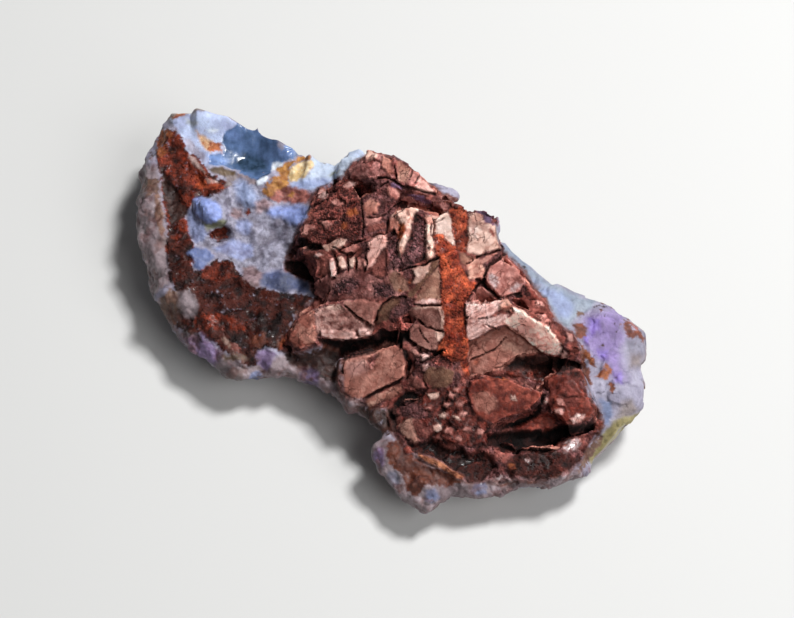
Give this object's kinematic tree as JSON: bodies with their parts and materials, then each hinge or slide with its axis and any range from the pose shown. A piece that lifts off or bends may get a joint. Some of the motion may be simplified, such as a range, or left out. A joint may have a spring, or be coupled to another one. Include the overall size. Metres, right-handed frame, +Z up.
{
  "type": "rough opal",
  "caption": "Rough milky opal slab, part of it glassy blue, with a broken crust of brown ironstone grown on top, lying on its flat underside.",
  "frame": {"origin": "middle of the stone's box, on the surface that it lies on", "axes": "+X along the stone's long side, towards its pale right end; +Z up, the stone's thinnest way, from the flat underside to the ironstone ridge; -Y towards the low front edge"},
  "size_m": [0.0562, 0.03, 0.015],
  "materials": {
    "opal_and_ironstone": "broken, partly dusty ironstone on waxy to glassy milky opal"
  },
  "bodies": {
    "root": {"rough_opal": "opal_and_ironstone"}
  },
  "joints": []
}
